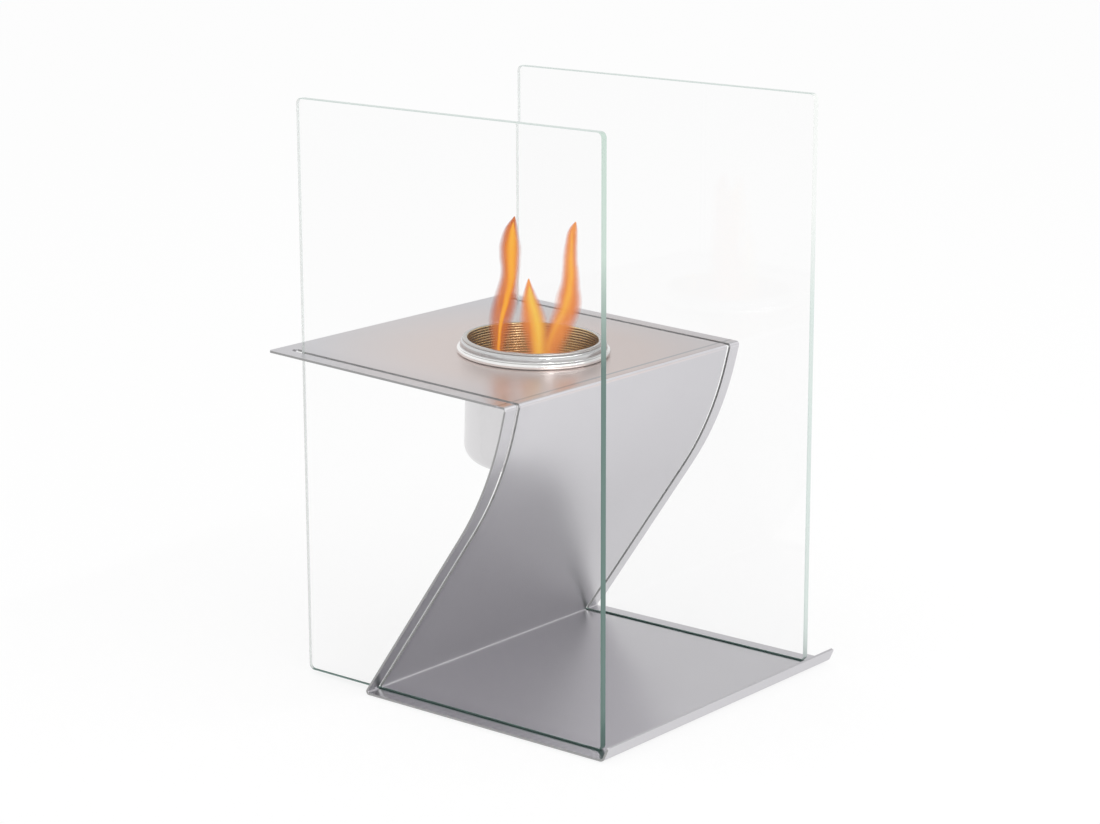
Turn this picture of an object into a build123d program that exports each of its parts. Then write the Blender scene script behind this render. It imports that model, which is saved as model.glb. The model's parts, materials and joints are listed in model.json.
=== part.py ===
from build123d import *

import os
from math import cos, hypot, isclose, radians, sin, tan

# Tabletop bioethanol fireplace. One bent steel sheet carries a round burner between two glass panes.
# +Z is up and +X is to the right when the front lip faces the viewer, who looks along +Y.
# The origin is on the table, under the middle of the footprint. Lengths are in millimetres.

# Overall
width = 256.0                   # sheet width, left to right
front_margin = 15.0             # front edge of the glass to the front of the footprint
rear_margin = 20.5              # rear edge of the glass to the rear of the footprint

# Glass panes
pane_height = 400.0
pane_depth = 260.0
pane_thickness = 5.0
pane_corner_radius = 4.0
pane_arris = 0.5                # ground chamfer round every edge of the glass

# Bent sheet
sheet = 1.5
bend_radius = 0.8               # inside radius of the two tight bends
corner_radius = 2.0             # corners of the sheet's two free ends
base_length = 209.7             # front of the footprint to the inner corner of the rear bend
plate_length = 212.1            # front bend to the rear edge of the top plate
plate_height = 218.8            # front bend above the base plate
plate_rise = 2.2                # degrees that the top plate climbs towards the rear
web_lean = 76.0                 # degrees from the table, upper part of the web
web_upper = 59.5                # front bend to the middle of the web's knee, along the upper part
knee_radius = 245.0
lip_rise = 9.2                  # edge of the lip above the base plate
lip_slope = 66.0                # degrees from the table
lip_radius = 3.0                # inside radius where the lip leaves the base plate

# Slots for the panes
edge_strip = 10.5               # sheet left outside each slot
slot_clearance = 0.5            # on each face of the glass
slot_end_gap = 10.0             # behind the glass, in the top plate

# Burner
can_radius = 45.7
can_wall = 0.7
can_depth = 78.0                # under the top face of the plate
can_corner = 13.0
rim_reach = 2.8                 # turned-over rim beyond the can
rim_drop = 1.3                  # height of the turned-over rim
rim_edge = 1.0                  # outer radius of the rim's two edges
burner_setback = 83.0           # front bend to the burner's axis
hole_clearance = 0.7
collar_height = 9.0
collar_wall = 0.8
collar_shoulder = 3.8           # top of the collar's wall beyond the can, before rounding
collar_waist = 4.3              # bottom of the collar's wall beyond the can
collar_flare = 6.6              # rolled foot of the collar beyond the can
foot_height = 3.8               # height of the rolled foot
collar_crown = 2.0              # outer radius of the collar's top corner
waist_radius = 1.2              # where the wall meets the rolled foot
foot_roll = 1.7                 # outer radius of the rolled foot's two corners
collar_fit = 0.1                # collar to can

# Absorbent pad and its screen
wool_height = 30.0
wool_clearance = 0.3
screen_thickness = 0.8
screen_clearance = 0.3
screen_hole = 6.5
screen_pitch = 10.0
screen_border = 5.0             # solid ring outside the holes

# Anti-slip pads
foot_diameter = 12.0
foot_thickness = 1.5
foot_inset = 22.0               # from the sheet's sides and from the two bends

# Places that follow from the sizes above
depth = front_margin + pane_depth + rear_margin
pane_y = (front_margin - rear_margin) / 2
base_top = foot_thickness + sheet
slot_width = pane_thickness + 2 * slot_clearance
pane_x = width / 2 - edge_strip - slot_width / 2
front_bend = Vector(depth / 2 - plate_length, base_top + plate_height)
rear_bend = Vector(-depth / 2 + base_length, base_top)
rise = radians(plate_rise)
lean = radians(web_lean)
slope = radians(lip_slope)
knee = front_bend + Vector(cos(lean), -sin(lean)) * web_upper
plate_end = front_bend + Vector(1, tan(rise)) * (plate_length - sheet * sin(rise))
lip_edge = Vector(-depth / 2 + sheet * sin(slope), base_top + lip_rise)
lip_bend = Vector(lip_edge.X + lip_rise / tan(slope), base_top)

burner_y = front_bend.X + burner_setback
burner_z = front_bend.Y + burner_setback * tan(rise)
burner_seat = Plane(origin=(0, burner_y, burner_z), x_dir=(1, 0, 0), z_dir=(0, -sin(rise), cos(rise)))
hole_radius = can_radius + hole_clearance
can_inside = can_radius - can_wall
floor_top = can_wall - can_depth
rim_top = collar_height + rim_drop
rim_radius = can_radius + rim_reach


def turned(outline):
    """Solid of revolution of an outline drawn as radius and height over the top plate."""
    return burner_seat * revolve(Plane.XZ * outline, Axis.Z)


def make_stand():
    """The whole bent sheet, drawn along its show face and thickened towards the hidden one."""
    show_face = FilletPolyline(
        lip_edge, lip_bend, rear_bend, knee, front_bend, plate_end,
        radius=[lip_radius, bend_radius, knee_radius, bend_radius + sheet],
    )
    section = make_face(show_face.wire().offset_2d(sheet, side=Side.RIGHT))
    body = extrude(Plane.YZ * section, amount=width / 2, both=True)
    corners = body.edges().filter_by(lambda edge: isclose(edge.length, sheet, abs_tol=0.01))
    body = fillet(corners, corner_radius)
    body -= burner_seat * Cylinder(hole_radius, 4 * sheet)
    for side in (-1, 1):
        body -= Pos(side * pane_x, 0, base_top) * make_slot_cutter()
    return body


def make_slot_cutter():
    """Upright prism with a round rear end. It opens the web and the top plate down to the base."""
    front = front_bend.X - front_margin
    rear = pane_y + pane_depth / 2 + slot_end_gap - slot_width / 2
    outline = Pos(0, (front + rear) / 2) * Rectangle(slot_width, rear - front)
    outline += Pos(0, rear) * Circle(slot_width / 2)
    return extrude(outline, amount=2 * plate_height)


def make_pane(side):
    """A pane with rounded corners and a ground arris. side is -1 for the left and 1 for the right."""
    outline = RectangleRounded(pane_depth, pane_height, pane_corner_radius)
    glass = extrude(Plane.YZ * outline, amount=pane_thickness / 2, both=True)
    glass = chamfer(glass.faces().filter_by(Axis.X).edges(), pane_arris)
    return Pos(side * pane_x, pane_y, base_top + pane_height / 2) * glass


def make_fuel_can():
    """Drawn can with a round bottom edge. Its rim is turned over and stands on the collar."""
    inside = FilletPolyline(
        (0, floor_top), (can_inside, floor_top), (can_inside, rim_top), (rim_radius, rim_top),
        (rim_radius, collar_height),
        radius=[can_corner - can_wall, rim_edge, rim_edge],
    )
    return turned(make_face(inside.wire().offset_2d(can_wall, side=Side.RIGHT)))


def make_burner_collar():
    """Spun ring with a rolled foot that stands on the plate round the hole."""
    shell = FilletPolyline(
        (can_radius + collar_fit, collar_height), (can_radius + collar_shoulder, collar_height),
        (can_radius + collar_waist, foot_height), (can_radius + collar_flare, foot_height),
        (can_radius + collar_flare, 0), (hole_radius, 0),
        radius=[collar_crown, waist_radius, foot_roll, foot_roll],
    )
    return turned(make_face(shell.wire().offset_2d(collar_wall, side=Side.RIGHT)))


def make_wool_pad():
    """Absorbent pad that fills the bottom of the can."""
    radius = can_inside - wool_clearance
    outline = FilletPolyline(
        (0, floor_top), (radius, floor_top), (radius, floor_top + wool_height),
        radius=can_corner - can_wall,
    )
    top = Polyline((radius, floor_top + wool_height), (0, floor_top + wool_height), (0, floor_top))
    return turned(make_face(Wire(outline.edges() + top.edges())))


def make_retaining_screen():
    """Perforated disc that lies on the pad."""
    radius = can_inside - screen_clearance
    middle = floor_top + wool_height + screen_thickness / 2
    reach = radius - screen_border - screen_hole / 2
    row_pitch = screen_pitch * sin(radians(60))
    rows = int(reach / row_pitch)
    columns = int(reach / screen_pitch) + 1
    holes = []
    for row in range(-rows, rows + 1):
        for column in range(-columns, columns + 1):
            x = (column + (row % 2) / 2) * screen_pitch
            y = row * row_pitch
            if hypot(x, y) <= reach:
                holes.append(Pos(x, y, middle) * Cylinder(screen_hole / 2, 2 * screen_thickness))
    disc = Pos(0, 0, middle) * Cylinder(radius, screen_thickness)
    return burner_seat * (disc - Compound(holes))


def make_foot_pads():
    """Four round pads under the base plate, near its corners."""
    x = width / 2 - foot_inset
    places = [
        (side * x, y) for side in (-1, 1) for y in (lip_bend.X + foot_inset, rear_bend.X - foot_inset)
    ]
    return Compound([
        Pos(px, py, foot_thickness / 2) * Cylinder(foot_diameter / 2, foot_thickness) for px, py in places
    ])


parts = {
    "stand": make_stand(),
    "left_glass": make_pane(-1),
    "right_glass": make_pane(1),
    "fuel_can": make_fuel_can(),
    "burner_collar": make_burner_collar(),
    "wool_pad": make_wool_pad(),
    "retaining_screen": make_retaining_screen(),
    "foot_pads": make_foot_pads(),
}

os.makedirs("parts", exist_ok=True)
for name, shape in parts.items():
    export_step(shape, f"parts/{name}.step")
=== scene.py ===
import json
from math import cos, pi, radians, sin, tau

import bmesh
import bpy
from bpy.props import FloatProperty, FloatVectorProperty, IntProperty, PointerProperty
from mathutils import Euler, Matrix, Vector, noise


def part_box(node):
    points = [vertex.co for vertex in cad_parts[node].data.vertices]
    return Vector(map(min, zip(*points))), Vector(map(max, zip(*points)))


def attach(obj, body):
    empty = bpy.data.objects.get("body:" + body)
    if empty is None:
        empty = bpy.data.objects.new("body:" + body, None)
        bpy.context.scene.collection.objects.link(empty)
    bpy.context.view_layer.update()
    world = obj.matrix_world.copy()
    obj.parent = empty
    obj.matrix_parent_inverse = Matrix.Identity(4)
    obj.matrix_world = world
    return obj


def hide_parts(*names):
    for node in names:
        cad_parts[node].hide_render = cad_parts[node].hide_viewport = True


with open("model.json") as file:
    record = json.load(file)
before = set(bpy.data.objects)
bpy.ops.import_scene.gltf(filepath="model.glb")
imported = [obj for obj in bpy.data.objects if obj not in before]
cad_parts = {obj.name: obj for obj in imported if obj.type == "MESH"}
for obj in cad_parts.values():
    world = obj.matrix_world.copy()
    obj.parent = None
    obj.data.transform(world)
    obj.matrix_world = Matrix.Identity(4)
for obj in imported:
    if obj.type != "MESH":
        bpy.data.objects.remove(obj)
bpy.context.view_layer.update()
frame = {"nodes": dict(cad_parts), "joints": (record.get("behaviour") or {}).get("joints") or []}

bl_info = {
    "name": "Bioethanol fireplace",
    "version": (1, 0, 0),
    "blender": (4, 5, 0),
    "location": "3D View > Sidebar > Fireplace",
    "description": "Finishes the steel stand, glass panes and burner of a tabletop fireplace",
    "category": "Object",
}

# Places and lengths are in metres. The boxes and the burner's axis come from the frame.
CAN_LOW, CAN_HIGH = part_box("fuel_can")
CAN_CENTRE = (CAN_LOW + CAN_HIGH) / 2
WOOL_LOW, WOOL_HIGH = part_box("wool_pad")
BURNER_AXIS = Vector(next(j["axis"] for j in frame["joints"] if j["name"] == "burner_lift")).normalized()
BURNER_TILT = Vector((0, 0, 1)).rotation_difference(BURNER_AXIS).to_matrix().to_4x4()
CAN_LENGTH = 0.0883             # from the can's bottom to the top of its rim
RIM_OVER_PLATE = 0.0103         # from the top plate to the top of the can's rim
PLATE_HEIGHTS = (0.2186, 0.2196)  # heights over the table between which the web gives way to the plate

# Textures
NOISE_RANGE = (0.3, 0.7)        # values between which nearly all of a noise texture lies
WAVE_REPEAT = tau / 20          # distance between the bands of a wave texture at scale 1

# Sheet
CUT_FACING = (0.8, 0.95)        # how squarely a face looks sideways, from a show face to a cut edge
GRAIN_SHADE = 0.992             # brightness of the darkest brush line, as a share of the palest
GRAIN_STRETCH = 0.03            # how fast the grain changes along the brush lines, as a share of across them
GRAIN_ROUGHNESS = 0.004         # roughness that the brush lines add or take
CLOUD_ROUGHNESS = 0.02          # roughness that broad patches add or take
CLOUD_RANGE = (0.35, 0.65)      # noise values that give the smoothest and the roughest patch
PAINTED_GLOW_REACH = (0.075, 0.150)     # from the burner's axis: where the painted warm glow of the flames on the plate fades
# Lines across the plate just behind the front bend: a darker press brake mark, and a painted highlight where
# the plate turns into the bend. Place from front to rear, half width, and brightness as a share of the plain
# sheet's
BRAKE_MARK_AND_HIGHLIGHT_LINES = ((-0.0566, 0.0013, 0.74), (-0.0632, 0.0006, 1.35))

# Glass
PAINTED_EDGE_FADE = (0.255, 0.325)     # heights between which the front edges' painted shade fades from deep to pale green
PANE_FACING = 0.9               # a pane's two faces look sideways more squarely than this, its edges less
EDGE_FACING = (0.2, 0.6)        # how squarely an edge looks along an axis, from not at all to wholly

# Can and collar. Heights are over the top plate.
INSIDE_FADE = (0.0, -0.01)      # from the can's centre out to a face, which is below zero on the inside
OUTSIDE_RINGS = 0.06            # turned rings outside the can, as a share of those inside
CAN_ROUGHNESS = (0.20, 0.26)
RIM_START = (0.0086, 0.0090)    # where the can's turned-over rim begins
SEAM_START = (0.0080, 0.0086)   # where the painted shade of the seam under the rim begins
GROOVE_MIDDLE = 0.0050
GROOVE_REACH = (0.0004, 0.0010)  # distances from the groove's middle between which its painted shade fades
FOOT_START = (0.0042, 0.0036)   # where the painted highlight on the collar's rolled foot begins
COLLAR_ROUGHNESS = (0.07, 0.10)

# Wool pad
WOOL_SLIM = 0.0008              # the fibre pad's radius under the plain pad's, so its lumps clear the can
WOOL_CORNER = 0.0123            # radius of its bottom edge
WOOL_SEED = 3
WOOL_SHADE = 0.86               # brightness of its darkest patch, as a share of the palest
WOOL_TOP = 0.9                  # loose fibres stand where the pad looks up more squarely than this
FIBRE_THICKNESS = 0.00004
FIBRE_TILT = 0.12               # how far a loose fibre leans, in radians

# Foot pads
RUBBER_SHADE = 0.7              # brightness of the grain's darkest spot, as a share of the palest
RUBBER_ROUGHNESS = (0.6, 0.8)

# Flames
FLAME_FADE = (-0.012, 0.022)    # heights over the rim between which the flames thicken
FLAME_SKINS = 7                 # nested skins of one tongue, whose thin cover makes its edge soft
STREAK_WARMTH = 0.3             # how much the streaks add to or take from a skin's warmth
WISP_COVER = (0.6, 1.2)         # cover of the thinnest and the thickest wisp
LOW_WARMTH = 0.6                # warmth of the flames down in the can
LOW_COVER = 0.45                # cover of the flames down in the can
MIRRORED_COVER = 0.6            # cover of the flames as the steel and the glass mirror them
# Each kind's colours at its edge and heart, cover of its outermost and innermost skin, and how far the skins
# shrink towards its middle
FLAME_KINDS = {
    "body": ("body_edge", "body_heart", (0.12, 0.26), 0.55),
    "glow": ("glow_edge", "glow_heart", (0.12, 0.34), 0.65),
    "core": ("core_edge", "core_heart", (0.10, 0.40), 0.85),
    "light": ("core_heart", "light_heart", (0.05, 0.20), 0.9),
    "warm": ("glow_heart", "core_heart", (0.04, 0.14), 0.9),
}

# Stage
FILM_WIDTH = 36.0               # of the camera, in millimetres
SEE_THROUGH_LAYERS = 32         # the flames' skins and the panes that one line of sight may pass
WALLS_TO_TOP = (0.1, 0.7)       # climb of a direction, from the walls' light to the light from above
DARK_SIDE_REACH = (0.5, 0.8)    # how near a direction is to the dark side, from outside it to wholly in it
# Each lamp's name, place, width, height and share of the lamp power
LAMPS = (
    ("front_strip", (-0.60, -1.48, 0.85), 0.14, 0.9, 1.2),
    ("high_bar", (0.10, -1.40, 1.50), 2.4, 0.10, 3.2),
)
LAMP_AIM = Vector((0, 0.02, 0.22))


# Node helpers

def add_node(tree, kind, inputs=None, **settings):
    """Adds a node, sets its options, then sets or links each of its inputs."""
    made = tree.nodes.new(kind)
    for name, value in settings.items():
        setattr(made, name, value)
    for key, value in (inputs or {}).items():
        if isinstance(value, bpy.types.NodeSocket):
            tree.links.new(value, made.inputs[key])
        else:
            made.inputs[key].default_value = value
    return made


def new_material(name):
    """An empty material and its node tree."""
    material = bpy.data.materials.new(name)
    material.use_nodes = True
    material.node_tree.nodes.clear()
    return material, material.node_tree


def finish_material(tree, surface):
    """Sends a shader to the material's output."""
    add_node(tree, "ShaderNodeOutputMaterial", {"Surface": surface})


def math_node(tree, operation, *values, **settings):
    """One math node's result."""
    inputs = dict(enumerate(values))
    return add_node(tree, "ShaderNodeMath", inputs, operation=operation, **settings).outputs[0]


def ramp(tree, factor, low, high, to_low=0.0, to_high=1.0):
    """factor from low..high carried to to_low..to_high, held at both ends."""
    values = {"Value": factor, "From Min": low, "From Max": high, "To Min": to_low, "To Max": to_high}
    return add_node(tree, "ShaderNodeMapRange", values, clamp=True).outputs[0]


def between(tree, share, first, last):
    """first where the share is 0, last where it is 1."""
    return ramp(tree, share, 0.0, 1.0, first, last)


def shaded(colour, share):
    """A colour at a share of its brightness, at most full."""
    return [min(c * share, 1.0) for c in colour]


def blend_colour(tree, factor, first, second):
    """Two colours mixed by a factor."""
    made = add_node(tree, "ShaderNodeMix", data_type="RGBA")
    for socket, value in ((made.inputs[0], factor), (made.inputs[6], first), (made.inputs[7], second)):
        if isinstance(value, bpy.types.NodeSocket):
            tree.links.new(value, socket)
        elif socket == made.inputs[0]:
            socket.default_value = value
        else:
            socket.default_value = (*value[:3], 1.0)
    return made.outputs[2]


def object_point(tree):
    """Object coordinates and their three parts."""
    point = add_node(tree, "ShaderNodeTexCoord").outputs["Object"]
    parts = add_node(tree, "ShaderNodeSeparateXYZ", {0: point}).outputs
    return point, parts


def outward_normal(tree):
    """The face's own normal in object coordinates, also where its back is seen, as three parts."""
    normal = add_node(tree, "ShaderNodeTexCoord").outputs["Normal"]
    back = add_node(tree, "ShaderNodeNewGeometry").outputs["Backfacing"]
    sign = between(tree, back, 1.0, -1.0)
    turned = add_node(tree, "ShaderNodeVectorMath", {0: normal, "Scale": sign}, operation="SCALE").outputs[0]
    return add_node(tree, "ShaderNodeSeparateXYZ", {0: turned}).outputs


def dot_product(tree, first, second):
    """Dot product of two vectors."""
    return add_node(tree, "ShaderNodeVectorMath", {0: first, 1: second}, operation="DOT_PRODUCT").outputs[1]


def noise_value(tree, point, scale, detail=2.0, stretch=(1, 1, 1)):
    """Noise on the object's own coordinates, drawn out along the axes whose stretch is under 1."""
    mapped = add_node(tree, "ShaderNodeMapping", {"Vector": point, "Scale": stretch}).outputs[0]
    inputs = {"Vector": mapped, "Scale": scale, "Detail": detail}
    return add_node(tree, "ShaderNodeTexNoise", inputs).outputs["Fac"]


# Materials

def radius_from_axis(tree, parts):
    """Distance from the burner's axis, near enough for its small tilt."""
    across = math_node(tree, "SUBTRACT", parts[0], CAN_CENTRE.x)
    along = math_node(tree, "SUBTRACT", parts[1], CAN_CENTRE.y)
    squares = [math_node(tree, "MULTIPLY", v, v) for v in (across, along)]
    return math_node(tree, "SQRT", math_node(tree, "ADD", *squares))


def height_over_plate(tree, point):
    """Height over the top plate, along the burner's axis."""
    rim = BURNER_AXIS.dot(CAN_CENTRE) + CAN_LENGTH / 2
    return math_node(tree, "SUBTRACT", dot_product(tree, point, BURNER_AXIS), rim - RIM_OVER_PLATE)


def brushed_sheet(settings):
    """Brushed stainless sheet with cut edges, a brake mark and a painted highlight behind the front bend, and
    a painted flame glow.
    """
    material, tree = new_material("brushed_sheet")
    point, parts = object_point(tree)
    normal = add_node(tree, "ShaderNodeTexCoord").outputs["Normal"]
    facing = add_node(tree, "ShaderNodeSeparateXYZ", {0: normal}).outputs
    pitch = settings.grain_pitch
    along = GRAIN_STRETCH / pitch
    grain = noise_value(tree, point, scale=1.0, detail=3.0, stretch=(1 / pitch, along, along))
    cloud = noise_value(tree, point, scale=9.0, detail=3.0)
    is_cut = ramp(tree, math_node(tree, "ABSOLUTE", facing[0]), *CUT_FACING)
    dark_line = shaded(settings.colour, GRAIN_SHADE)
    face = blend_colour(tree, ramp(tree, grain, *NOISE_RANGE), dark_line, settings.colour)
    high = ramp(tree, parts[2], *PLATE_HEIGHTS)
    # Painted light: the flames' warm glow on the top plate, strongest at the burner and fading outward
    near = ramp(tree, radius_from_axis(tree, parts), *PAINTED_GLOW_REACH, to_low=1.0, to_high=0.0)
    face = blend_colour(tree, math_node(tree, "MULTIPLY", high, near), face, settings.painted_glow_colour)
    colour = blend_colour(tree, is_cut, face, settings.cut_colour)
    fine = ramp(tree, grain, *NOISE_RANGE, to_low=-GRAIN_ROUGHNESS, to_high=GRAIN_ROUGHNESS)
    broad = ramp(tree, cloud, *CLOUD_RANGE, to_low=-CLOUD_ROUGHNESS, to_high=CLOUD_ROUGHNESS)
    rough = math_node(tree, "ADD", fine, settings.roughness)
    rough = math_node(tree, "ADD", rough, broad)
    rough = math_node(tree, "ADD", rough, math_node(tree, "MULTIPLY", is_cut, settings.cut_roughness))
    # a darker press brake mark, and a brighter painted highlight of the bend
    for place, half_width, share in BRAKE_MARK_AND_HIGHLIGHT_LINES:
        away = math_node(tree, "ABSOLUTE", math_node(tree, "SUBTRACT", parts[1], place))
        on_line = ramp(tree, away, half_width / 2, half_width, to_low=1.0, to_high=0.0)
        mark = math_node(tree, "MULTIPLY", math_node(tree, "MULTIPLY", on_line, high), settings.brake_mark_and_highlight)
        colour = blend_colour(tree, mark, colour, shaded(settings.colour, share))
    steel = add_node(tree, "ShaderNodeBsdfPrincipled", {
        "Base Color": colour, "Metallic": 1.0, "Roughness": rough, "Specular Tint": (0.85, 0.85, 0.85, 1.0),
    })
    finish_material(tree, steel.outputs[0])
    return material


def clear_glass(name, settings, front_edge, front_edge_top):
    """Clear float glass. Its ground edges show the glass's green with painted light and shade: deepest at the
    front and foot, paler higher up and on the top and rear edges.
    """
    material, tree = new_material(name)
    height = object_point(tree)[1][2]
    facing = outward_normal(tree)
    is_edge = math_node(tree, "LESS_THAN", math_node(tree, "ABSOLUTE", facing[0]), PANE_FACING)
    forward_or_down = [-share for share in EDGE_FACING]
    is_front = ramp(tree, facing[1], *forward_or_down)
    is_foot = ramp(tree, facing[2], *forward_or_down)
    # Painted light and shade over the glass's own green: paler upward, the front and foot edges deeper
    upper = ramp(tree, height, *PAINTED_EDGE_FADE)
    front = blend_colour(tree, upper, front_edge, front_edge_top)
    colour = blend_colour(tree, is_front, settings.pale_edge, front)
    colour = blend_colour(tree, is_foot, colour, settings.shaded_foot_edge)
    pane = add_node(tree, "ShaderNodeBsdfPrincipled", {
        "Base Color": (*settings.tint, 1.0), "Roughness": 0.0, "IOR": 1.5, "Transmission Weight": 1.0,
        "Specular Tint": (0.3, 0.3, 0.3, 1.0),
    })
    edge = add_node(tree, "ShaderNodeBsdfPrincipled", {
        "Base Color": colour, "Roughness": 0.3, "IOR": 1.5,
    })
    beyond = add_node(tree, "ShaderNodeBsdfTransparent")
    cover = ramp(tree, facing[1], *EDGE_FACING, to_low=1.0, to_high=settings.rear_cover)
    edge = add_node(tree, "ShaderNodeMixShader", {0: cover, 1: beyond.outputs[0], 2: edge.outputs[0]})
    solid = add_node(tree, "ShaderNodeMixShader", {0: is_edge, 1: pane.outputs[0], 2: edge.outputs[0]})
    through = add_node(tree, "ShaderNodeBsdfTransparent", {"Color": (*settings.tint, 1.0)})
    shadow = add_node(tree, "ShaderNodeLightPath").outputs["Is Shadow Ray"]
    mixed = add_node(tree, "ShaderNodeMixShader", {0: shadow, 1: solid.outputs[0], 2: through.outputs[0]})
    finish_material(tree, mixed.outputs[0])
    return material


def drawn_steel(settings):
    """Drawn can: fine turned rings, and inside a painted warm glow of the flames on the steel, in patches."""
    material, tree = new_material("drawn_steel")
    point = object_point(tree)[0]
    normal = add_node(tree, "ShaderNodeTexCoord").outputs["Normal"]
    outward = add_node(tree, "ShaderNodeVectorMath", {0: point, 1: CAN_CENTRE}, operation="SUBTRACT")
    inside = ramp(tree, dot_product(tree, outward.outputs[0], normal), *INSIDE_FADE)
    rings = add_node(tree, "ShaderNodeTexWave", {
        "Vector": point, "Scale": WAVE_REPEAT / settings.ring_pitch, "Distortion": 0.6, "Detail": 2.0,
    }, wave_type="BANDS", bands_direction="Z").outputs["Fac"]
    cloud = noise_value(tree, point, scale=60.0, detail=3.0)
    # Painted light: the flames' warm glow inside the can, in patches
    tint = blend_colour(tree, ramp(tree, cloud, *NOISE_RANGE), settings.painted_glow_tint, settings.painted_deep_glow_tint)
    is_rim = ramp(tree, height_over_plate(tree, point), *RIM_START)
    outside = blend_colour(tree, is_rim, settings.can_colour, settings.rim_colour)
    colour = blend_colour(tree, inside, outside, tint)
    rings = math_node(tree, "MULTIPLY", rings, between(tree, inside, OUTSIDE_RINGS, 1.0))
    bump = add_node(tree, "ShaderNodeBump", {"Height": rings, "Strength": 1.0, "Distance": 0.0002})
    steel = add_node(tree, "ShaderNodeBsdfPrincipled", {
        "Base Color": colour, "Metallic": 1.0, "Normal": bump.outputs[0],
        "Roughness": ramp(tree, cloud, *NOISE_RANGE, *CAN_ROUGHNESS),
    })
    finish_material(tree, steel.outputs[0])
    return material


def spun_steel(settings):
    """Polished collar with faint turning lines, a painted highlight on its foot, and painted shade in the
    groove and the seam under the rim.
    """
    material, tree = new_material("spun_steel")
    point, parts = object_point(tree)
    height = height_over_plate(tree, point)
    turned = add_node(tree, "ShaderNodeCombineXYZ", {0: radius_from_axis(tree, parts), 2: parts[2]})
    lines = noise_value(tree, turned.outputs[0], scale=900.0)
    # painted highlight on the foot; painted shade in the groove and the seam under the rim
    foot = ramp(tree, height, *FOOT_START)
    away = math_node(tree, "ABSOLUTE", math_node(tree, "SUBTRACT", height, GROOVE_MIDDLE))
    groove = ramp(tree, away, *GROOVE_REACH, to_low=1.0, to_high=0.0)
    colour = blend_colour(tree, foot, settings.collar_colour, settings.foot_highlight_colour)
    for dark in (groove, ramp(tree, height, *SEAM_START)):
        colour = blend_colour(tree, dark, colour, settings.groove_shade_colour)
    steel = add_node(tree, "ShaderNodeBsdfPrincipled", {
        "Base Color": colour, "Metallic": 1.0,
        "Roughness": ramp(tree, lines, *NOISE_RANGE, *COLLAR_ROUGHNESS),
    })
    finish_material(tree, steel.outputs[0])
    return material


def ceramic_wool(settings):
    """Matted white fibre."""
    material, tree = new_material("ceramic_wool")
    point = object_point(tree)[0]
    fibres = noise_value(tree, point, scale=900.0, detail=4.0, stretch=(1, 0.2, 1))
    patches = noise_value(tree, point, scale=120.0, detail=3.0)
    shade = blend_colour(tree, patches, shaded(settings.colour, WOOL_SHADE), settings.colour)
    bump = add_node(tree, "ShaderNodeBump", {"Height": fibres, "Strength": 0.6, "Distance": 0.0006})
    wool = add_node(tree, "ShaderNodeBsdfPrincipled", {
        "Base Color": shade, "Roughness": 0.95, "Sheen Weight": 0.3, "Normal": bump.outputs[0],
    })
    finish_material(tree, wool.outputs[0])
    return material


def foot_rubber(settings):
    """Black anti-slip pad with a fine moulded grain."""
    material, tree = new_material("foot_rubber")
    point = object_point(tree)[0]
    grain = noise_value(tree, point, scale=1500.0)
    colour = blend_colour(tree, grain, shaded(settings.colour, RUBBER_SHADE), settings.colour)
    bump = add_node(tree, "ShaderNodeBump", {"Height": grain, "Strength": 0.3, "Distance": 0.0002})
    rubber = add_node(tree, "ShaderNodeBsdfPrincipled", {
        "Base Color": colour, "Roughness": ramp(tree, grain, *NOISE_RANGE, *RUBBER_ROUGHNESS),
        "Normal": bump.outputs[0],
    })
    finish_material(tree, rubber.outputs[0])
    return material


def flame_glow(kind, settings):
    """Glowing gas in nested skins: the outer ones thin and dark, the inner ones fuller and bright."""
    edge, heart, covers, _ = FLAME_KINDS[kind]
    material, tree = new_material("flame_" + kind)
    point, parts = object_point(tree)
    depth = add_node(tree, "ShaderNodeAttribute", attribute_name="depth").outputs["Fac"]
    streaks = noise_value(tree, point, scale=130.0, stretch=(1, 1, 0.18))
    streaks = ramp(tree, streaks, *NOISE_RANGE, to_low=-STREAK_WARMTH, to_high=STREAK_WARMTH)
    wisps = noise_value(tree, point, scale=70.0, detail=1.0, stretch=(1, 1, 0.3))
    wisps = ramp(tree, wisps, *NOISE_RANGE, *WISP_COVER)
    height = math_node(tree, "SUBTRACT", parts[2], CAN_HIGH.z)
    low = ramp(tree, height, *FLAME_FADE, to_low=1.0, to_high=0.0)
    path = add_node(tree, "ShaderNodeLightPath").outputs
    mirrored = math_node(tree, "SUBTRACT", path["Is Glossy Ray"], path["Is Transmission Ray"], use_clamp=True)
    warmth = math_node(tree, "ADD", depth, streaks, use_clamp=True)
    warmth = math_node(tree, "MULTIPLY", warmth, between(tree, low, 1.0, LOW_WARMTH))
    colour = blend_colour(tree, warmth, getattr(settings, edge), getattr(settings, heart))
    cover = math_node(tree, "MULTIPLY", between(tree, depth, *covers), wisps)
    for share, thinned in ((low, LOW_COVER), (mirrored, MIRRORED_COVER)):
        cover = math_node(tree, "MULTIPLY", cover, between(tree, share, 1.0, thinned))
    glow = add_node(tree, "ShaderNodeEmission", {"Color": colour, "Strength": settings.strength})
    clear = add_node(tree, "ShaderNodeBsdfTransparent")
    layer = add_node(tree, "ShaderNodeMixShader", {0: cover, 1: clear.outputs[0], 2: glow.outputs[0]})
    finish_material(tree, layer.outputs[0])
    material.cycles.emission_sampling = "NONE"
    return material


def dress(node_name, material):
    """Gives a piece from the frame its material."""
    slots = frame["nodes"][node_name].material_slots
    if not slots:
        raise RuntimeError(f"{node_name} has no material slot")
    for slot in slots:
        slot.material = material


# Settings

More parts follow.
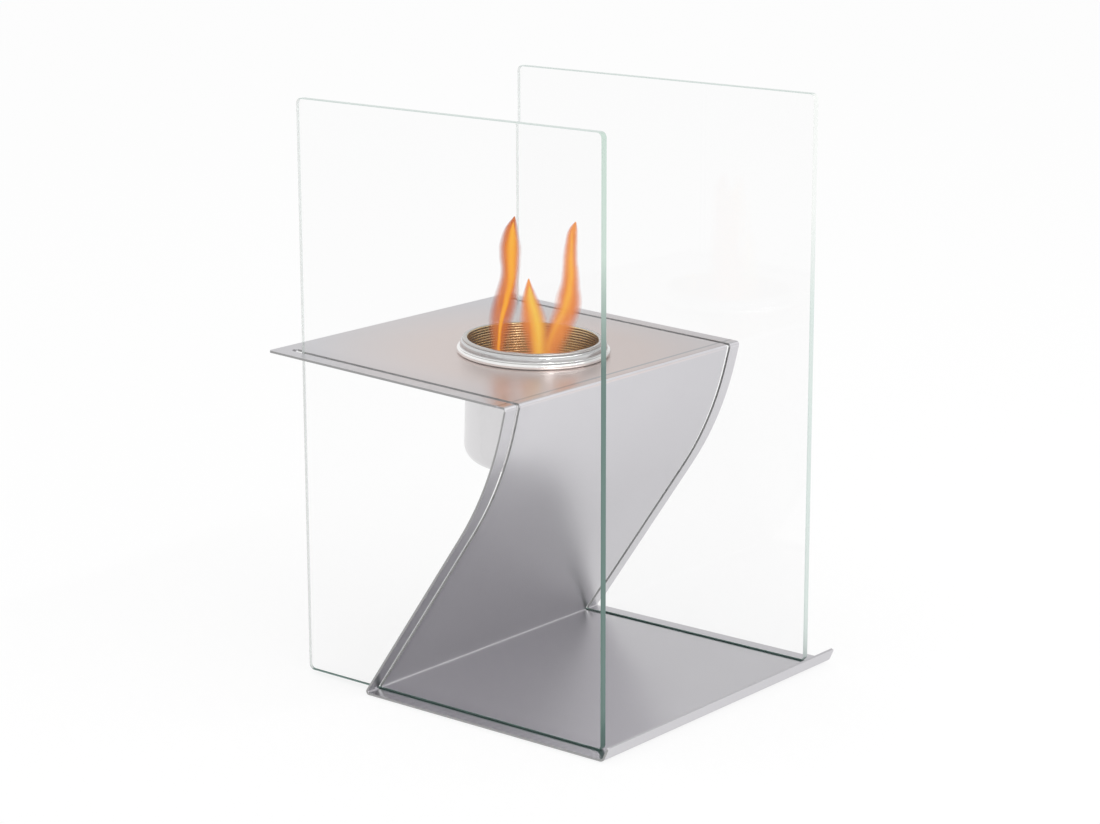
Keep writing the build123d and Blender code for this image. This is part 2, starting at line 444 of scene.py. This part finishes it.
class StandSettings(bpy.types.PropertyGroup):
    colour: FloatVectorProperty(
        name="Steel colour", description="Colour of the brushed sheet", subtype="COLOR",
        default=(0.668, 0.658, 0.683), min=0.0, max=1.0)
    # Painted light: the warm glow of the flames on the plate round the burner
    painted_glow_colour: FloatVectorProperty(
        name="Heat colour", description="Faint straw cast of the plate round the burner", subtype="COLOR",
        default=(0.745, 0.655, 0.628), min=0.0, max=1.0)
    cut_colour: FloatVectorProperty(
        name="Cut edge colour", description="Colour of the laser-cut edges", subtype="COLOR",
        default=(0.37, 0.37, 0.37), min=0.0, max=1.0)
    cut_roughness: FloatProperty(
        name="Cut edge roughness", description="How much rougher the cut edges are", subtype="FACTOR",
        default=0.25, min=0.0, max=0.6)
    roughness: FloatProperty(
        name="Roughness", description="How much the brushing blurs reflections", subtype="FACTOR",
        default=0.30, min=0.05, max=0.8)
    grain_pitch: FloatProperty(
        name="Grain pitch", description="Distance between brush lines", unit="LENGTH",
        default=0.0005, min=0.0001, max=0.005)
    # Painted light: how clearly the brake mark and the painted highlight of the bend show
    brake_mark_and_highlight: FloatProperty(
        name="Brake marks", description="How clearly the lines behind the front bend show", subtype="FACTOR",
        default=1.0, min=0.0, max=1.0)


class GlassSettings(bpy.types.PropertyGroup):
    tint: FloatVectorProperty(
        name="Glass tint", description="What the pane lets through", subtype="COLOR",
        default=(0.985, 0.985, 0.985), min=0.0, max=1.0)
    # Edges: the glass's own green with painted light and shade. The left front edge is painted in shade and
    # the right one lit, both paler at the top; the top and rear edges are pale and the foot edge is darkest
    left_edge: FloatVectorProperty(
        name="Left front edge", description="Green of the left pane's front edge", subtype="COLOR",
        default=(0.105, 0.178, 0.158), min=0.0, max=1.0)
    right_edge: FloatVectorProperty(
        name="Right front edge", description="Green of the right pane's front edge", subtype="COLOR",
        default=(0.64, 0.72, 0.69), min=0.0, max=1.0)
    left_edge_top: FloatVectorProperty(
        name="Top of left front edge", description="What the left edge fades to at its top", subtype="COLOR",
        default=(0.52, 0.63, 0.57), min=0.0, max=1.0)
    right_edge_top: FloatVectorProperty(
        name="Top of right front edge", description="What the right edge fades to at its top",
        subtype="COLOR", default=(0.82, 0.84, 0.82), min=0.0, max=1.0)
    rear_cover: FloatProperty(
        name="Rear edge cover", description="How much of the light the rear edge holds back",
        subtype="FACTOR", default=0.42, min=0.0, max=1.0)
    pale_edge: FloatVectorProperty(
        name="Top and rear edges", description="Colour of the other ground edges", subtype="COLOR",
        default=(0.59, 0.66, 0.635), min=0.0, max=1.0)
    shaded_foot_edge: FloatVectorProperty(
        name="Foot edge", description="Green of the edge that stands on the base", subtype="COLOR",
        default=(0.10, 0.20, 0.17), min=0.0, max=1.0)


class BurnerSettings(bpy.types.PropertyGroup):
    collar_colour: FloatVectorProperty(
        name="Collar colour", description="Polished steel of the collar", subtype="COLOR",
        default=(0.62, 0.62, 0.62), min=0.0, max=1.0)
    # Painted light: a highlight painted on the collar's foot
    foot_highlight_colour: FloatVectorProperty(
        name="Collar foot colour", description="Brightly polished foot of the collar", subtype="COLOR",
        default=(0.90, 0.89, 0.88), min=0.0, max=1.0)
    # Painted shade: in the groove over the foot and the seam under the can's rim
    groove_shade_colour: FloatVectorProperty(
        name="Groove colour", description="Groove over the collar's foot and seam under the can's rim",
        subtype="COLOR", default=(0.48, 0.47, 0.465), min=0.0, max=1.0)
    rim_colour: FloatVectorProperty(
        name="Rim colour", description="Turned-over rim of the can", subtype="COLOR",
        default=(0.50, 0.48, 0.46), min=0.0, max=1.0)
    can_colour: FloatVectorProperty(
        name="Can colour", description="Outside of the drawn can", subtype="COLOR",
        default=(0.70, 0.69, 0.70), min=0.0, max=1.0)
    # Painted light: the flames' warm glow inside the can; the deeper one where it is painted strongest
    painted_glow_tint: FloatVectorProperty(
        name="Heat tint", description="Straw colour inside the can", subtype="COLOR",
        default=(0.73, 0.55, 0.31), min=0.0, max=1.0)
    painted_deep_glow_tint: FloatVectorProperty(
        name="Deeper heat tint", description="Where the heat has coloured the steel most", subtype="COLOR",
        default=(0.60, 0.43, 0.21), min=0.0, max=1.0)
    ring_pitch: FloatProperty(
        name="Ring pitch", description="Distance between turned rings", unit="LENGTH",
        default=0.00185, min=0.0002, max=0.01)


class WoolSettings(bpy.types.PropertyGroup):
    colour: FloatVectorProperty(
        name="Wool colour", description="Ceramic fibre", subtype="COLOR",
        default=(0.86, 0.85, 0.81), min=0.0, max=1.0)
    lumps: FloatProperty(
        name="Lumps", description="Unevenness of the pad's surface", unit="LENGTH",
        default=0.0008, min=0.0, max=0.003)
    tufts: IntProperty(
        name="Tufts", description="Loose fibres on top of the pad", default=1600, min=0, max=20000)
    tuft_length: FloatProperty(
        name="Tuft length", description="Length of a loose fibre", unit="LENGTH",
        default=0.0022, min=0.0, max=0.01)
    rings: IntProperty(
        name="Rings", description="Rings of faces across the pad", default=24, min=4, max=80)
    sides: IntProperty(
        name="Sides", description="Faces round the pad", default=96, min=12, max=256)


class FootSettings(bpy.types.PropertyGroup):
    colour: FloatVectorProperty(
        name="Rubber colour", description="Anti-slip pads", subtype="COLOR",
        default=(0.06, 0.06, 0.06), min=0.0, max=1.0)


class FlameSettings(bpy.types.PropertyGroup):
    body_edge: FloatVectorProperty(
        name="Body edge", description="Colour at the edge of the deep orange flame", subtype="COLOR",
        default=(0.42, 0.06, 0.01), min=0.0, max=1.0)
    body_heart: FloatVectorProperty(
        name="Body heart", description="Colour in the middle of the deep orange flame", subtype="COLOR",
        default=(0.86, 0.24, 0.01), min=0.0, max=1.0)
    glow_edge: FloatVectorProperty(
        name="Glow edge", description="Colour at the edge of a pale orange flame", subtype="COLOR",
        default=(0.66, 0.14, 0.03), min=0.0, max=1.0)
    glow_heart: FloatVectorProperty(
        name="Glow heart", description="Colour in the middle of a pale orange flame", subtype="COLOR",
        default=(0.98, 0.38, 0.06), min=0.0, max=1.0)
    core_edge: FloatVectorProperty(
        name="Core edge", description="Colour round the amber core", subtype="COLOR",
        default=(0.92, 0.26, 0.0), min=0.0, max=1.0)
    core_heart: FloatVectorProperty(
        name="Core heart", description="Colour in the middle of the amber core", subtype="COLOR",
        default=(1.0, 0.58, 0.06), min=0.0, max=1.0)
    light_heart: FloatVectorProperty(
        name="Light heart", description="Yellow in the middle of the palest flame", subtype="COLOR",
        default=(0.93, 0.66, 0.10), min=0.0, max=1.0)
    strength: FloatProperty(
        name="Glow", description="Brightness of the flames", default=1.0, min=0.0, max=20.0)
    waviness: FloatProperty(
        name="Waviness", description="How far the surface wanders", unit="LENGTH",
        default=0.0016, min=0.0, max=0.01)
    wave_length: FloatProperty(
        name="Wave length", description="Distance between two waves", unit="LENGTH",
        default=0.014, min=0.002, max=0.1)
    sides: IntProperty(
        name="Sides", description="Faces round a flame", default=28, min=8, max=128)
    steps: IntProperty(
        name="Steps", description="Rings of faces up a flame", default=56, min=8, max=200)


class StageSettings(bpy.types.PropertyGroup):
    camera_place: FloatVectorProperty(
        name="Camera place", description="Where the camera stands", subtype="TRANSLATION", unit="LENGTH",
        default=(-1.4631, -1.1979, 0.6503))
    heading: FloatProperty(
        name="Heading", description="Camera's turn from straight ahead, to the right", subtype="ANGLE",
        default=radians(50.572))
    dip: FloatProperty(
        name="Dip", description="How far the camera looks down", subtype="ANGLE", default=radians(13.828))
    roll: FloatProperty(
        name="Roll", description="Camera's turn round its own line of sight", subtype="ANGLE",
        default=radians(-0.151))
    lens: FloatProperty(
        name="Lens", description="Focal length in millimetres on a 36 mm wide film", default=92.82,
        min=10, max=300)
    floor_reach: FloatProperty(
        name="Floor reach", description="From the object to the floor's edge", unit="LENGTH", default=12.0,
        min=1)
    floor_white: FloatProperty(
        name="Floor white", description="How pale the floor is", subtype="FACTOR", default=0.9,
        min=0.0, max=1.0)
    overhead_light: FloatProperty(
        name="Overhead light", description="The room's light from above", default=1.0, min=0.0, max=5.0)
    wall_light: FloatProperty(
        name="Wall light", description="The room's light from its walls", default=0.97, min=0.0, max=5.0)
    dark_side: FloatVectorProperty(
        name="Dark side", description="Direction of the room's darker side", subtype="DIRECTION",
        default=(0.75, -0.25, 0.60))
    dark_side_shade: FloatProperty(
        name="Dark side shade", description="How much darker that side is", subtype="FACTOR",
        default=0.27, min=0.0, max=1.0)
    lamp_power: FloatProperty(
        name="Lamp power", description="Power of a square metre of lamp", unit="POWER", default=11.0,
        min=0.0, max=500.0)
    floor_glow: FloatProperty(
        name="Floor glow", description="How much of the floor's white shows in the shade too",
        subtype="FACTOR", default=0.8, min=0.0, max=1.0)


class FireplaceSettings(bpy.types.PropertyGroup):
    stand: PointerProperty(type=StandSettings)
    glass: PointerProperty(type=GlassSettings)
    burner: PointerProperty(type=BurnerSettings)
    wool: PointerProperty(type=WoolSettings)
    feet: PointerProperty(type=FootSettings)
    flames: PointerProperty(type=FlameSettings)
    stage: PointerProperty(type=StageSettings)


# Meshes

def new_object(name, data):
    """A linked object that holds the data."""
    made = bpy.data.objects.new(name, data)
    bpy.context.scene.collection.objects.link(made)
    return made


def link_mesh(name, builder):
    """Turns a bmesh into a linked object with smooth faces."""
    mesh = bpy.data.meshes.new(name)
    bmesh.ops.recalc_face_normals(builder, faces=builder.faces)
    builder.to_mesh(mesh)
    builder.free()
    for polygon in mesh.polygons:
        polygon.use_smooth = True
    return new_object(name, mesh)


def make_wool(settings):
    """A matted round pad: rings of vertices over the top, down the side, round the bottom edge and under."""
    shoulder = 0.002            # from the top edge down to the side's first loop
    side_step = 0.003
    side_loops = 5
    corner_steps = 8
    under_steps = 6
    lump_scale = 180            # lumps in a metre
    least_radius = 0.01         # nearer the middle, a lump doesn't pull its vertices further in
    size = WOOL_HIGH - WOOL_LOW
    radius = size.x / 2 - WOOL_SLIM
    height = size.z - abs(BURNER_AXIS.y) * size.x
    middle = (WOOL_LOW + WOOL_HIGH) / 2
    flat = radius - WOOL_CORNER
    outline = [(radius * k / settings.rings, height / 2) for k in range(1, settings.rings + 1)]
    outline += [(radius, height / 2 - shoulder - side_step * k) for k in range(side_loops)]
    for k in range(corner_steps + 1):
        turn = tau / 4 * k / corner_steps
        outline.append((flat + WOOL_CORNER * cos(turn), -height / 2 + WOOL_CORNER * (1 - sin(turn))))
    outline += [(flat * (1 - k / under_steps), -height / 2) for k in range(1, under_steps)]
    builder = bmesh.new()
    loops = []
    for r, h in outline:
        loop = []
        for k in range(settings.sides):
            angle = tau * k / settings.sides
            place = Vector((r * cos(angle), r * sin(angle), h))
            sink = settings.lumps * (0.5 + 0.5 * noise.noise(place * lump_scale))
            place.z -= sink if h > 0 else -sink
            place.xy *= 1 - sink / max(r, least_radius)
            loop.append(builder.verts.new(BURNER_TILT @ place + middle))
        loops.append(loop)
    for upper, lower in zip(loops, loops[1:]):
        for k in range(settings.sides):
            n = (k + 1) % settings.sides
            builder.faces.new((upper[k], upper[n], lower[n], lower[k]))
    half_sunk = height / 2 - settings.lumps / 2
    for loop, h in ((loops[0], half_sunk), (loops[-1], -half_sunk)):
        tip = builder.verts.new(BURNER_TILT @ Vector((0, 0, h)) + middle)
        for k in range(settings.sides):
            builder.faces.new((loop[k], loop[(k + 1) % settings.sides], tip))
    return link_mesh("wool_block", builder)


# Flames. The last word of a name is its kind. Each has its place behind the burner's axis, as seen from the
# camera, and its rows: (to the right, height over the rim, half width). The first row is down in the can and
# the last is the tip.
TONGUES = {
    "left_flame_body": (0.002, (
        (-0.0244, -0.0340, 0.0026), (-0.0235, -0.0054, 0.0058), (-0.0222, 0.0086, 0.0081),
        (-0.0206, 0.0156, 0.0090), (-0.0175, 0.0279, 0.0082), (-0.0152, 0.0418, 0.0063),
        (-0.0154, 0.0557, 0.0076), (-0.0152, 0.0638, 0.0072), (-0.0138, 0.0747, 0.0046),
        (-0.0123, 0.0816, 0.0003),
    )),
    "left_flame_core": (-0.010, (
        (-0.0243, -0.0340, 0.0013), (-0.0240, -0.0071, 0.0013), (-0.0213, 0.0129, 0.0017),
        (-0.0168, 0.0286, 0.0027), (-0.0142, 0.0441, 0.0040), (-0.0144, 0.0579, 0.0051),
        (-0.0135, 0.0717, 0.0037), (-0.0124, 0.0798, 0.0003),
    )),
    "middle_flame_glow": (-0.004, (
        (0.0031, -0.0340, 0.0047), (0.0042, -0.0099, 0.0078), (0.0031, -0.0015, 0.0090),
        (0.0004, 0.0116, 0.0100), (-0.0021, 0.0240, 0.0063), (-0.0025, 0.0343, 0.0030),
        (-0.0027, 0.0401, 0.0003),
    )),
    "middle_flame_light": (-0.016, (
        (0.0050, -0.0340, 0.0052), (0.0046, 0.0011, 0.0064), (0.0026, 0.0159, 0.0060),
        (-0.0016, 0.0290, 0.0040), (-0.0022, 0.0368, 0.0003),
    )),
    "right_flame_glow": (0.006, (
        (0.0104, -0.0340, 0.0060), (0.0117, -0.0126, 0.0090), (0.0188, 0.0041, 0.0097),
        (0.0241, 0.0164, 0.0095), (0.0248, 0.0252, 0.0090), (0.0258, 0.0353, 0.0068),
        (0.0256, 0.0479, 0.0058), (0.0262, 0.0618, 0.0050), (0.0280, 0.0730, 0.0034),
        (0.0296, 0.0772, 0.0003),
    )),
    "right_flame_warm": (-0.006, (
        (0.0091, -0.0340, 0.0030), (0.0091, -0.0099, 0.0039), (0.0151, 0.0067, 0.0039),
        (0.0235, 0.0224, 0.0041), (0.0262, 0.0415, 0.0025), (0.0263, 0.0640, 0.0019),
        (0.0271, 0.0733, 0.0003),
    )),
}


def flame_spline(name, along, rows, heading):
    """A curve up the middle of one tongue, whose radius is the tongue's half width."""
    rim = Vector((CAN_CENTRE.x, CAN_CENTRE.y, CAN_HIGH.z))
    right = Vector((cos(heading), -sin(heading), 0))
    rear = Vector((sin(heading), cos(heading), 0))
    curve = bpy.data.curves.new(name, "CURVE")
    curve.dimensions = "3D"
    spline = curve.splines.new("NURBS")
    spline.points.add(len(rows) - 1)
    for point, (across, height, half_width) in zip(spline.points, rows):
        point.co = (*(rim + right * across + rear * along + Vector((0, 0, height))), 1)
        point.radius = half_width
    spline.order_u = 3
    spline.use_endpoint_u = True
    return new_object(name, curve)


def new_tree(name, sockets):
    """A geometry node tree with named inputs, and its group input's outputs."""
    tree = bpy.data.node_groups.new(name, "GeometryNodeTree")
    for label, kind in (("Geometry", "Geometry"), *sockets):
        tree.interface.new_socket(label, in_out="INPUT", socket_type="NodeSocket" + kind)
    tree.interface.new_socket("Geometry", in_out="OUTPUT", socket_type="NodeSocketGeometry")
    return tree, add_node(tree, "NodeGroupInput").outputs


def end_tree(tree, shape, material):
    """Real faces, smooth, in one material."""
    smooth = add_node(tree, "GeometryNodeSetShadeSmooth", {"Geometry": shape}).outputs[0]
    real = add_node(tree, "GeometryNodeRealizeInstances", {0: smooth}).outputs[0]
    painted = add_node(tree, "GeometryNodeSetMaterial", {"Geometry": real, "Material": material})
    add_node(tree, "NodeGroupOutput", {0: painted.outputs[0]})


def flame_tree():
    """Sweeps nested round skins up the curve and lets them wander. Each skin's depth is an attribute."""
    tree, given = new_tree("flame_tongue", (
        ("Sides", "Int"), ("Steps", "Int"), ("Softness", "Float"), ("Waviness", "Float"),
        ("Wave scale", "Float"), ("Material", "Material"),
    ))
    path = add_node(tree, "GeometryNodeResampleCurve", {"Curve": given["Geometry"], "Count": given["Steps"]})
    width = add_node(tree, "GeometryNodeInputRadius").outputs[0]
    join = add_node(tree, "GeometryNodeJoinGeometry")
    for k in range(FLAME_SKINS):
        depth = k / (FLAME_SKINS - 1)
        share = math_node(tree, "MULTIPLY_ADD", given["Softness"], -depth, 1.0)
        section = add_node(tree, "GeometryNodeCurvePrimitiveCircle", {
            "Resolution": given["Sides"], "Radius": share,
        })
        skin = add_node(tree, "GeometryNodeCurveToMesh", {
            "Curve": path.outputs[0], "Profile Curve": section.outputs[0], "Scale": width, "Fill Caps": True,
        })
        marked = add_node(tree, "GeometryNodeStoreNamedAttribute", {
            "Geometry": skin.outputs[0], "Name": "depth", "Value": depth,
        }, data_type="FLOAT", domain="POINT")
        tree.links.new(marked.outputs[0], join.inputs[0])
    where = add_node(tree, "GeometryNodeInputPosition").outputs[0]
    sway = add_node(tree, "ShaderNodeTexNoise", {
        "Vector": where, "Scale": given["Wave scale"], "Detail": 1.0,
    }).outputs["Color"]
    centred = add_node(tree, "ShaderNodeVectorMath", {0: sway, 1: (0.5, 0.5, 0.5)}, operation="SUBTRACT")
    offset = add_node(tree, "ShaderNodeVectorMath", {
        0: centred.outputs[0], "Scale": given["Waviness"],
    }, operation="SCALE")
    moved = add_node(tree, "GeometryNodeSetPosition", {
        "Geometry": join.outputs[0], "Offset": offset.outputs[0],
    })
    end_tree(tree, moved.outputs[0], given["Material"])
    return tree


def tuft_tree():
    """Scatters short bent fibres over the pad's top and joins them to it."""
    tree, given = new_tree("wool_tufts", (
        ("Tufts per area", "Float"), ("Length", "Float"), ("Thickness", "Float"), ("Seed", "Int"),
        ("Material", "Material"),
    ))
    normal = add_node(tree, "GeometryNodeInputNormal").outputs[0]
    up = add_node(tree, "ShaderNodeSeparateXYZ", {0: normal}).outputs[2]
    top = math_node(tree, "GREATER_THAN", up, WOOL_TOP)
    spread = add_node(tree, "GeometryNodeDistributePointsOnFaces", {
        "Mesh": given["Geometry"], "Selection": top, "Density": given["Tufts per area"],
        "Seed": given["Seed"],
    }, distribute_method="RANDOM")
    bent = add_node(tree, "GeometryNodeCurveQuadraticBezier", {
        "Resolution": 4, "Start": (0.0, 0.0, 0.0), "Middle": (0.5, 0.0, 0.16), "End": (1.0, 0.25, 0.0),
    })
    section = add_node(tree, "GeometryNodeCurvePrimitiveCircle", {
        "Resolution": 4, "Radius": math_node(tree, "DIVIDE", given["Thickness"], given["Length"]),
    })
    fibre = add_node(tree, "GeometryNodeCurveToMesh", {
        "Curve": bent.outputs[0], "Profile Curve": section.outputs[0], "Fill Caps": True,
    })
    turn = add_node(tree, "FunctionNodeRandomValue", {"Seed": given["Seed"]}, data_type="FLOAT_VECTOR")
    for name, value in (("Min", (-FIBRE_TILT, -FIBRE_TILT, 0.0)), ("Max", (FIBRE_TILT, FIBRE_TILT, tau))):
        turn.inputs[name].default_value = value
    placed = add_node(tree, "GeometryNodeInstanceOnPoints", {
        "Points": spread.outputs[0], "Instance": fibre.outputs[0], "Rotation": turn.outputs[0],
        "Scale": given["Length"],
    })
    join = add_node(tree, "GeometryNodeJoinGeometry")
    tree.links.new(placed.outputs[0], join.inputs[0])
    tree.links.new(given["Geometry"], join.inputs[0])
    end_tree(tree, join.outputs[0], given["Material"])
    return tree


def plain_copy(source, name):
    """The evaluated object as a plain mesh object; the source is removed."""
    bpy.context.view_layer.update()
    graph = bpy.context.evaluated_depsgraph_get()
    mesh = bpy.data.meshes.new_from_object(source.evaluated_get(graph))
    bpy.data.objects.remove(source)
    return new_object(name, mesh)


def apply_tree(source, name, tree, values):
    """Puts the tree on the source with its inputs set by socket identifier, and returns the plain mesh."""
    modifier = source.modifiers.new(tree.name, "NODES")
    modifier.node_group = tree
    for label, value in values.items():
        sockets = tree.interface.items_tree
        identifier = next(s.identifier for s in sockets if s.name == label and s.in_out == "INPUT")
        modifier[identifier] = value
    return plain_copy(source, name)


# Operators

class FIREPLACE_OT_stand(bpy.types.Operator):
    """Brush the steel stand"""
    bl_idname = "fireplace.stand"
    bl_label = "Stand"

    def execute(self, context):
        dress("stand", brushed_sheet(context.scene.fireplace.stand))
        return {"FINISHED"}


class FIREPLACE_OT_glass(bpy.types.Operator):
    """Finish the two glass panes"""
    bl_idname = "fireplace.glass"
    bl_label = "Glass panes"

    def execute(self, context):
        settings = context.scene.fireplace.glass
        # one glass in both panes: their front edges differ only by painted light and shade
        left = clear_glass("left_clear_glass", settings, settings.left_edge, settings.left_edge_top)
        right = clear_glass("right_clear_glass", settings, settings.right_edge, settings.right_edge_top)
        dress("left_glass", left)
        dress("right_glass", right)
        return {"FINISHED"}


class FIREPLACE_OT_burner(bpy.types.Operator):
    """Finish the can, its collar and the screen"""
    bl_idname = "fireplace.burner"
    bl_label = "Burner"

    def execute(self, context):
        settings = context.scene.fireplace.burner
        can = drawn_steel(settings)
        dress("fuel_can", can)
        dress("retaining_screen", can)
        dress("burner_collar", spun_steel(settings))
        return {"FINISHED"}


class FIREPLACE_OT_wool(bpy.types.Operator):
    """Make the absorbent pad"""
    bl_idname = "fireplace.wool"
    bl_label = "Wool pad"

    def execute(self, context):
        settings = context.scene.fireplace.wool
        area = pi * (WOOL_HIGH.x - WOOL_LOW.x) ** 2 / 4
        pad = apply_tree(make_wool(settings), "wool_fibre_pad", tuft_tree(), {
            "Tufts per area": settings.tufts / area, "Length": settings.tuft_length,
            "Thickness": FIBRE_THICKNESS, "Seed": WOOL_SEED, "Material": ceramic_wool(settings),
        })
        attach(pad, "burner")
        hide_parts("wool_pad")
        return {"FINISHED"}


class FIREPLACE_OT_feet(bpy.types.Operator):
    """Finish the anti-slip pads"""
    bl_idname = "fireplace.feet"
    bl_label = "Foot pads"

    def execute(self, context):
        dress("foot_pads", foot_rubber(context.scene.fireplace.feet))
        return {"FINISHED"}


class FIREPLACE_OT_flames(bpy.types.Operator):
    """Grow the flames over the burner"""
    bl_idname = "fireplace.flames"
    bl_label = "Flames"

    def execute(self, context):
        settings = context.scene.fireplace.flames
        heading = context.scene.fireplace.stage.heading
        materials = {kind: flame_glow(kind, settings) for kind in FLAME_KINDS}
        tree = flame_tree()
        for name, (along, rows) in TONGUES.items():
            kind = name.split("_")[-1]
            softness = FLAME_KINDS[kind][-1]
            tongue = apply_tree(flame_spline(name + "_path", along, rows, heading), name, tree, {
                "Sides": settings.sides, "Steps": settings.steps, "Softness": softness,
                "Waviness": settings.waviness, "Wave scale": 1 / settings.wave_length,
                "Material": materials[kind],
            })
            tongue.visible_shadow = False
            tongue.visible_diffuse = False
            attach(tongue, "burner")
        return {"FINISHED"}


class FIREPLACE_OT_stage(bpy.types.Operator):
    """Set the floor, lamps, room light and camera"""
    bl_idname = "fireplace.stage"
    bl_label = "Stage"

    def execute(self, context):
        settings = context.scene.fireplace.stage
        make_floor(settings)
        make_room_light(context.scene, settings)
        make_lamps(settings)
        make_camera(context.scene, settings)
        context.scene.view_settings.view_transform = "Standard"
        context.scene.cycles.transparent_max_bounces = SEE_THROUGH_LAYERS
        return {"FINISHED"}


def seen_directly(tree):
    """1 for what the camera sees directly, in a mirror or through glass."""
    path = add_node(tree, "ShaderNodeLightPath").outputs
    seen = math_node(tree, "MAXIMUM", path["Is Camera Ray"], path["Is Glossy Ray"])
    return math_node(tree, "MAXIMUM", seen, path["Is Transmission Ray"])


def make_floor(settings):
    """A plain pale floor, seen as white with a faint shadow."""
    reach = settings.floor_reach
    builder = bmesh.new()
    corners = [builder.verts.new((x * reach, y * reach, 0)) for x, y in ((-1, -1), (1, -1), (1, 1), (-1, 1))]
    builder.faces.new(corners)
    floor = link_mesh("floor", builder)
    material, tree = new_material("pale_floor")
    white = (settings.floor_white,) * 3
    matt = add_node(tree, "ShaderNodeBsdfDiffuse", {"Color": (*white, 1.0)})
    faint = add_node(tree, "ShaderNodeBsdfDiffuse", {"Color": (*(1.0 - settings.floor_glow,) * 3, 1.0)})
    glow = add_node(tree, "ShaderNodeEmission", {"Strength": settings.floor_glow})
    shown = add_node(tree, "ShaderNodeAddShader", {0: faint.outputs[0], 1: glow.outputs[0]})
    seen = seen_directly(tree)
    mixed = add_node(tree, "ShaderNodeMixShader", {0: seen, 1: matt.outputs[0], 2: shown.outputs[0]})
    finish_material(tree, mixed.outputs[0])
    material.cycles.emission_sampling = "NONE"
    floor.data.materials.append(material)


def make_room_light(scene, settings):
    """Even white all round: a little less from the walls than from above, and least from one side."""
    world = bpy.data.worlds.new("room")
    world.use_nodes = True
    tree = world.node_tree
    tree.nodes.clear()
    toward = add_node(tree, "ShaderNodeTexCoord").outputs["Generated"]
    parts = add_node(tree, "ShaderNodeSeparateXYZ", {0: toward}).outputs
    light = ramp(tree, parts[2], *WALLS_TO_TOP, settings.wall_light, settings.overhead_light)
    share = dot_product(tree, toward, Vector(settings.dark_side).normalized())
    shade = ramp(tree, share, *DARK_SIDE_REACH, to_high=settings.dark_side_shade)
    light = math_node(tree, "SUBTRACT", light, shade)
    room = add_node(tree, "ShaderNodeBackground", {"Color": (1, 1, 1, 1), "Strength": light})
    add_node(tree, "ShaderNodeOutputWorld", {"Surface": room.outputs[0]})
    scene.world = world


def make_lamps(settings):
    """Two soft lamps, a tall strip and a high bar, which put bright curves on the burner and the bends."""
    for name, place, width, height, share in LAMPS:
        data = bpy.data.lights.new(name, "AREA")
        data.shape = "RECTANGLE"
        data.size, data.size_y = width, height
        data.energy = settings.lamp_power * width * height * share
        lamp = new_object(name, data)
        lamp.location = place
        lamp.rotation_euler = (LAMP_AIM - Vector(place)).to_track_quat("-Z", "Y").to_euler()


def make_camera(scene, settings):
    """The camera at the photograph's view."""
    data = bpy.data.cameras.new("camera")
    data.sensor_fit = "HORIZONTAL"
    data.sensor_width = FILM_WIDTH
    data.lens = settings.lens
    data.clip_end = 100.0
    camera = new_object("camera", data)
    camera.location = settings.camera_place
    aim = Euler((radians(90) - settings.dip, 0, -settings.heading)).to_matrix()
    camera.rotation_euler = (aim @ Matrix.Rotation(settings.roll, 3, "Z")).to_euler()
    scene.camera = camera


class FIREPLACE_PT_panel(bpy.types.Panel):
    """One button for each step"""
    bl_label = "Fireplace"
    bl_idname = "FIREPLACE_PT_panel"
    bl_space_type = "VIEW_3D"
    bl_region_type = "UI"
    bl_category = "Fireplace"

    def draw(self, context):
        for step in STEPS:
            self.layout.operator(step.bl_idname)


STEPS = (
    FIREPLACE_OT_stand, FIREPLACE_OT_glass, FIREPLACE_OT_burner, FIREPLACE_OT_wool, FIREPLACE_OT_feet,
    FIREPLACE_OT_flames, FIREPLACE_OT_stage,
)
CLASSES = (
    StandSettings, GlassSettings, BurnerSettings, WoolSettings, FootSettings, FlameSettings, StageSettings,
    FireplaceSettings, *STEPS, FIREPLACE_PT_panel,
)


def register():
    for made in CLASSES:
        bpy.utils.register_class(made)
    bpy.types.Scene.fireplace = PointerProperty(type=FireplaceSettings)


def unregister():
    del bpy.types.Scene.fireplace
    for made in reversed(CLASSES):
        bpy.utils.unregister_class(made)


def main():
    """Runs every step in order."""
    register()
    for step in STEPS:
        group, name = step.bl_idname.split(".")
        getattr(getattr(bpy.ops, group), name)()


if __name__ == "__main__":
    main()
